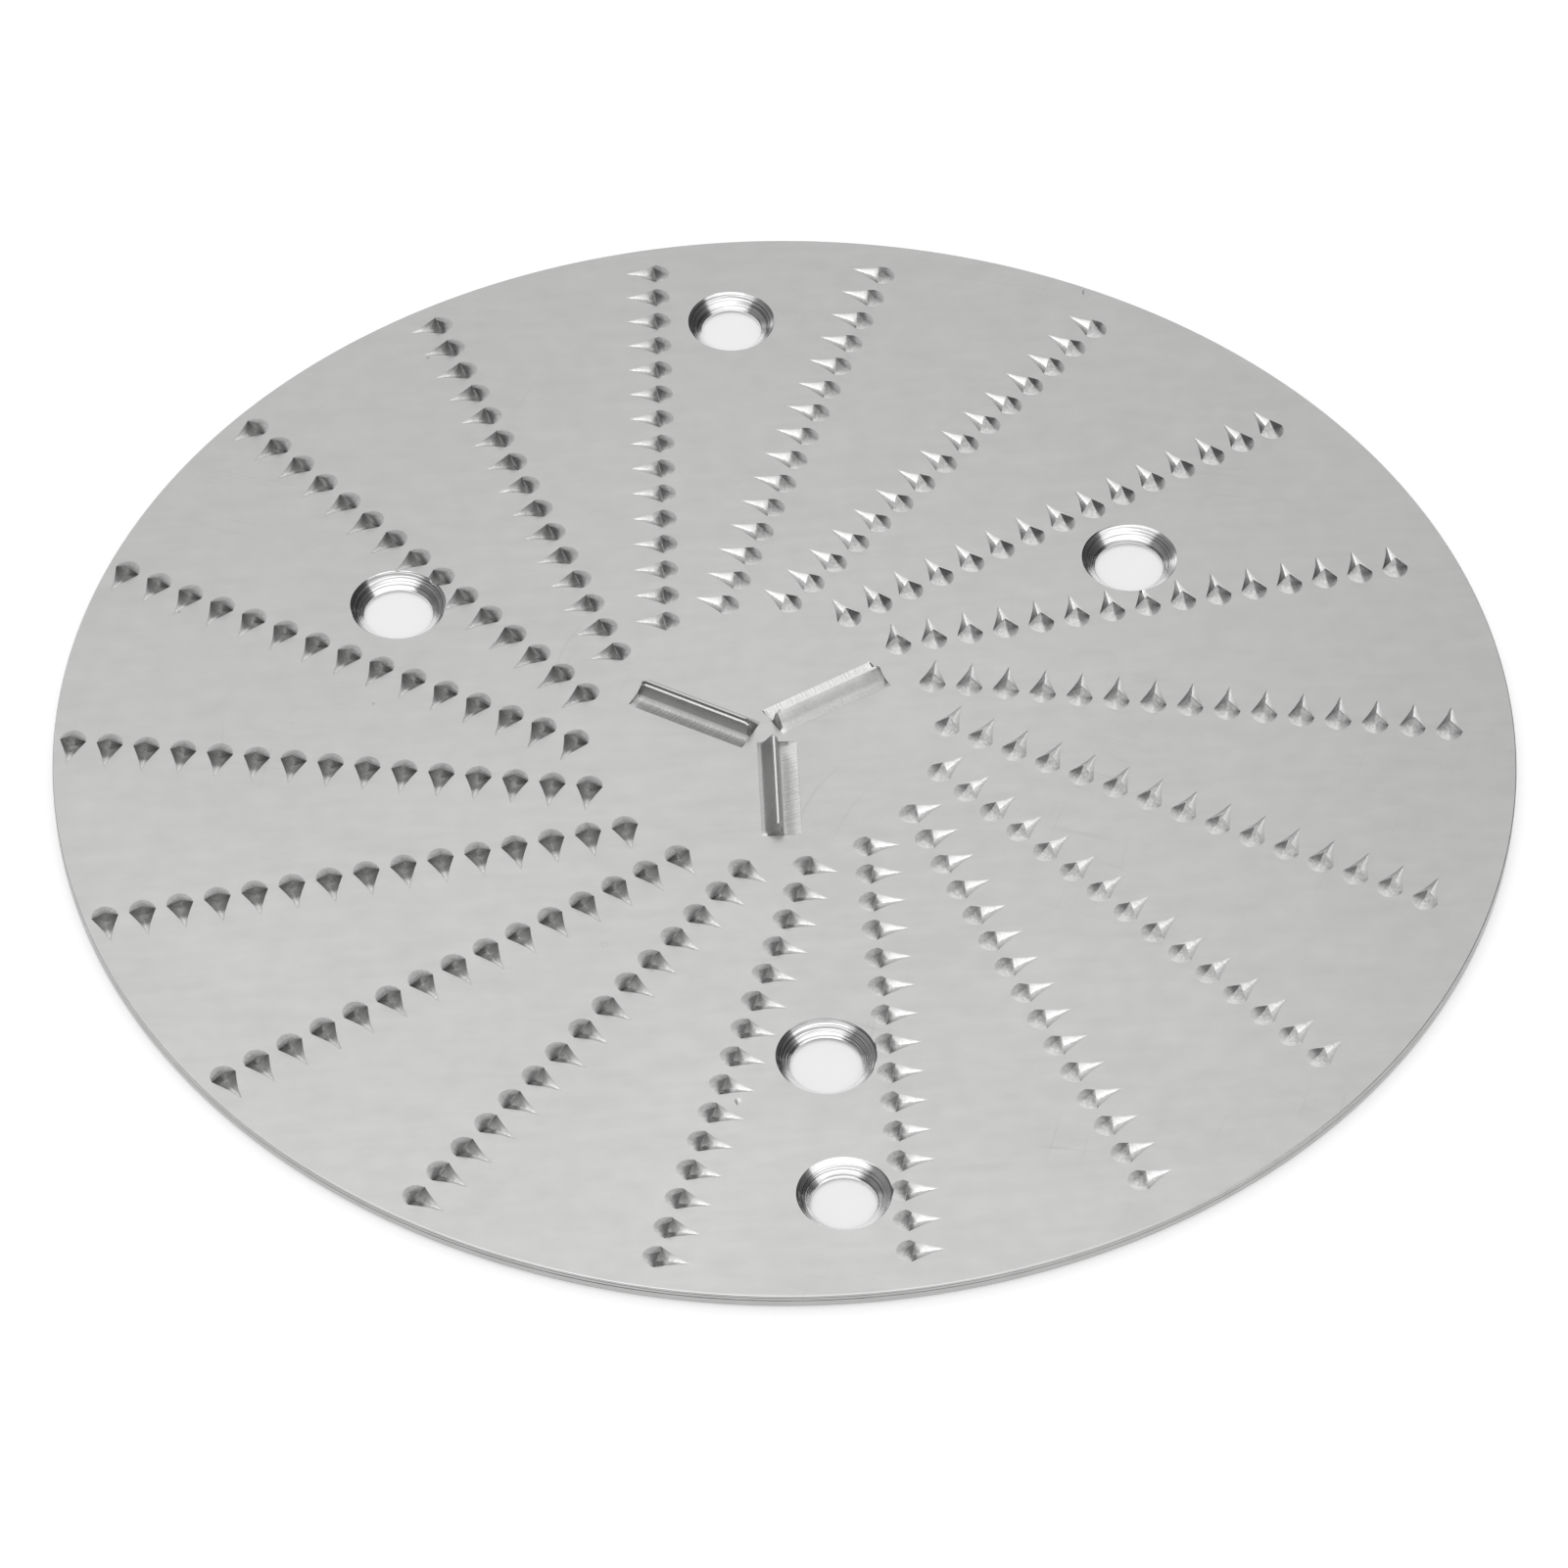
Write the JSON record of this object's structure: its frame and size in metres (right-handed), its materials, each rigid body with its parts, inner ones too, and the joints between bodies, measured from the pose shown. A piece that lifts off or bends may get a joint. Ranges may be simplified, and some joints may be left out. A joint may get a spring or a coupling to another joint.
{
  "type": "juicer shredder disc",
  "caption": "Flat round stainless shredder disc for a juicer, with spiralling rows of raised rasp teeth, cutting fins at the middle and countersunk screw holes.",
  "frame": {"origin": "centre of the disc on its flat underside", "axes": "+Z out of the toothed face, along the axis it spins about; the outer pair of screw holes lies on Y"},
  "size_m": [0.152, 0.152, 0.0033],
  "materials": {
    "steel": "satin"
  },
  "bodies": {
    "root": {"shredder_disc": "steel"}
  },
  "joints": []
}
